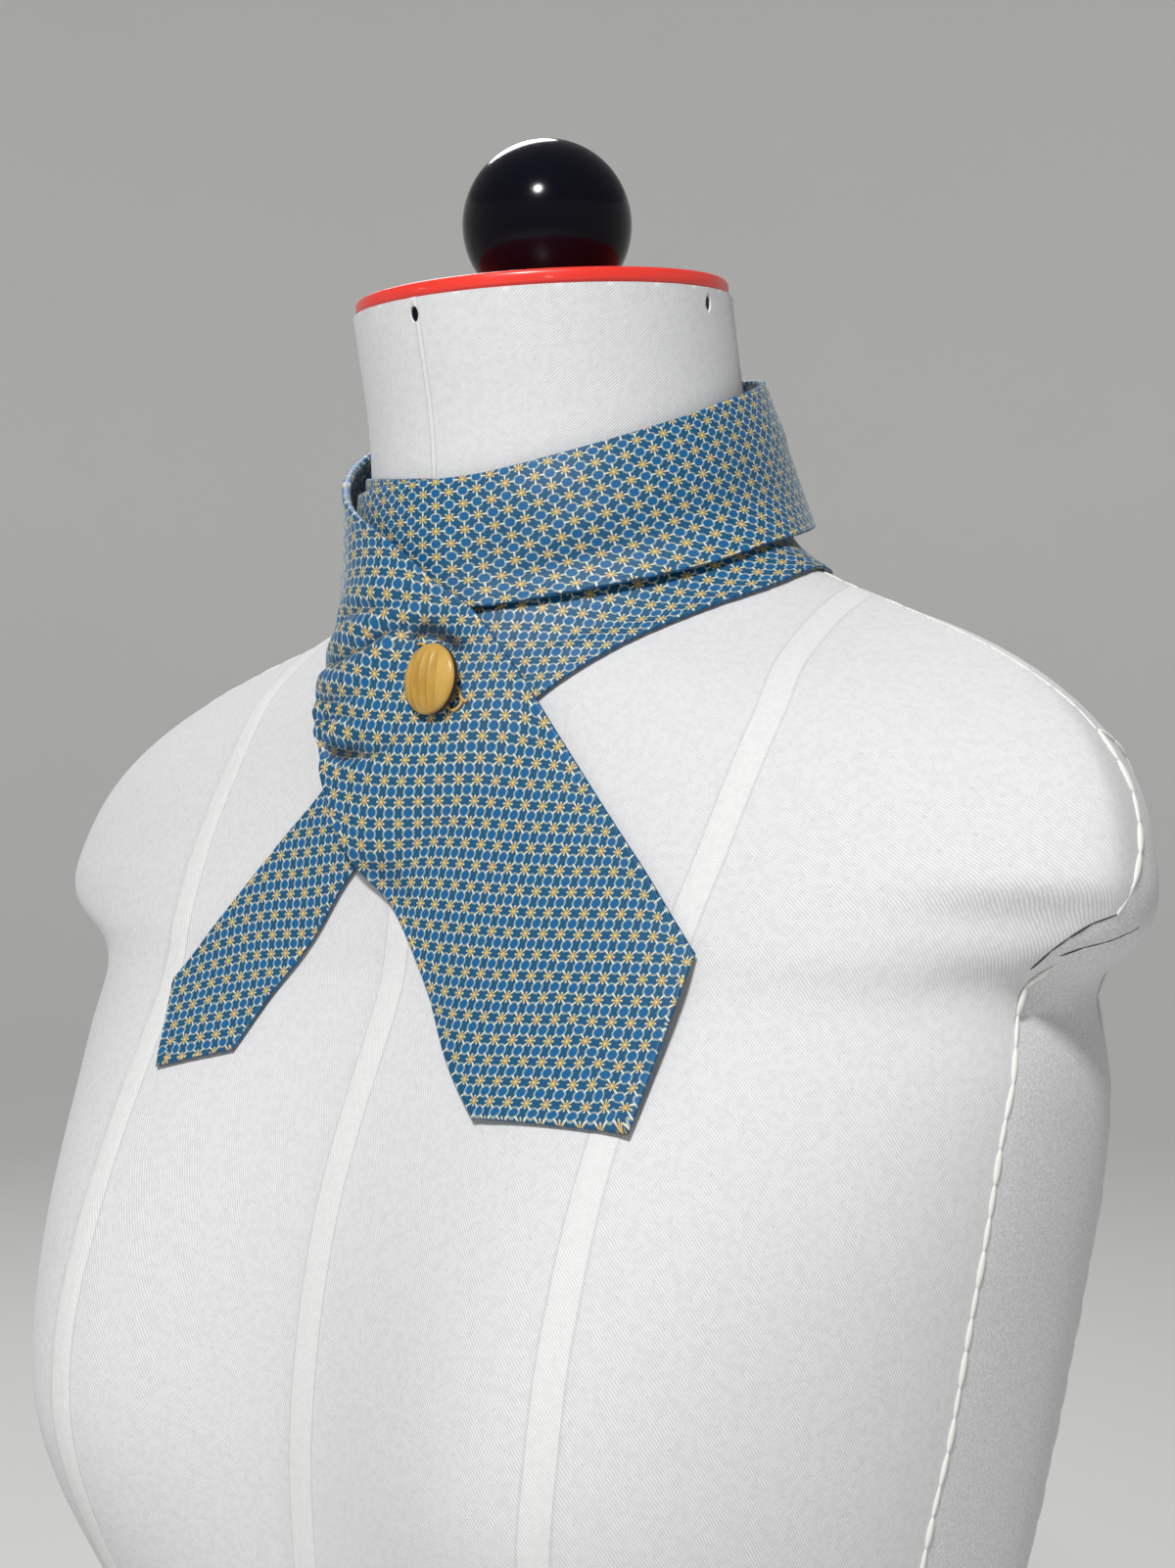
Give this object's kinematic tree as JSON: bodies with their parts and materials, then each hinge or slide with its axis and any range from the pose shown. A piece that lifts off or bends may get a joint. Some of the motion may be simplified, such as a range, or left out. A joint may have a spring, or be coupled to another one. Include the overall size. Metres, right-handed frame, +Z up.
{
  "type": "cravat on a dress form",
  "caption": "Woven necktie cravat wound round the neck of a limbless canvas dress form, its wide end crossed over the front and held by a domed button.",
  "frame": {"origin": "middle of the dress form's flat underside, where it rests", "axes": "+Z up along the form, -Y towards the wearer's front, +X towards the wearer's left"},
  "size_m": [0.387, 0.2502, 0.7633],
  "materials": {
    "silk": "fine twill-woven silk, blue with a small gold star and cream ring repeat, soft sheen",
    "canvas": "white twill canvas drawn tight over the form, matte",
    "red_plastic": "painted red, satin",
    "black_gloss": "black, high gloss",
    "mustard_resin": "mustard-yellow resin, polished",
    "gold_thread": "golden buttonhole thread"
  },
  "bodies": {
    "root": {"blade": "silk", "upper_band": "silk", "lower_band": "silk", "inner_ply": "silk", "tail": "silk", "button": "mustard_resin", "form_body": "canvas", "neck_cap": "red_plastic", "neck_knob": "black_gloss"}
  },
  "joints": []
}
